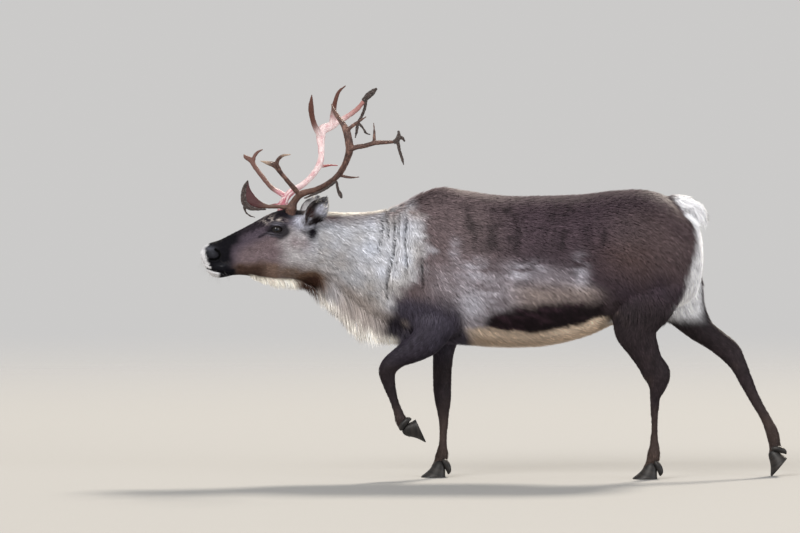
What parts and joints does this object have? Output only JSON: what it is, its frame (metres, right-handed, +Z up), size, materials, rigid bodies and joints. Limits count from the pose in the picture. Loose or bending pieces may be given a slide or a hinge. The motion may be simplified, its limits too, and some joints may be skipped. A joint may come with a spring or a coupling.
{
  "type": "reindeer",
  "caption": "Life-size bull reindeer as a still museum model in mid stride, with branched antlers that are shedding their velvet, a throat mane and a short tail.",
  "frame": {"origin": "on the floor, under the middle of the animal", "axes": "the nose points along -X, so +X is towards the rump; the animal's left side faces -Y; +Z is up"},
  "size_m": [2.2081, 0.571, 1.4722],
  "materials": {
    "coat_brown": "matt, short dense hair",
    "coat_pale": "matt, longer hair",
    "coat_white": "matt, long hair",
    "coat_black": "matt, short hair",
    "antler_brown": "satin, grooved antler",
    "antler_pink": "satin, newly bared antler",
    "velvet": "matt, dry shed skin",
    "horn": "satin hoof",
    "eye": "glossy"
  },
  "bodies": {
    "root": {"antler_left_beam": "antler_brown", "antler_left_bez": "antler_brown", "antler_left_brow": "antler_brown", "antler_left_crown": "antler_brown", "antler_left_rear": "antler_brown", "antler_right_beam": "antler_pink", "antler_right_bez": "antler_pink", "antler_right_brow": "antler_pink", "antler_right_crown": "antler_pink", "antler_right_front": "antler_pink", "ear_left": "coat_pale", "ear_right": "coat_pale", "eye_left": "eye", "eye_right": "eye", "foreleg_left_dewclaw_left": "horn", "foreleg_left_dewclaw_right": "horn", "foreleg_left_hoof_left": "horn", "foreleg_left_hoof_right": "horn", "foreleg_left_lower": "coat_black", "foreleg_left_upper": "coat_brown", "foreleg_right_dewclaw_left": "horn", "foreleg_right_dewclaw_right": "horn", "foreleg_right_hoof_left": "horn", "foreleg_right_hoof_right": "horn", "foreleg_right_lower": "coat_black", "foreleg_right_upper": "coat_brown", "head": "coat_brown", "hindleg_left_dewclaw_left": "horn", "hindleg_left_dewclaw_right": "horn", "hindleg_left_hoof_left": "horn", "hindleg_left_hoof_right": "horn", "hindleg_left_lower": "coat_black", "hindleg_left_upper": "coat_brown", "hindleg_right_dewclaw_left": "horn", "hindleg_right_dewclaw_right": "horn", "hindleg_right_hoof_left": "horn", "hindleg_right_hoof_right": "horn", "hindleg_right_lower": "coat_black", "hindleg_right_upper": "coat_brown", "neck": "coat_pale", "tail": "coat_white", "torso": "coat_brown", "velvet_left_beam": "velvet", "velvet_left_brow": "velvet", "velvet_left_rear": "velvet", "velvet_right_crown": "velvet"}
  },
  "joints": []
}
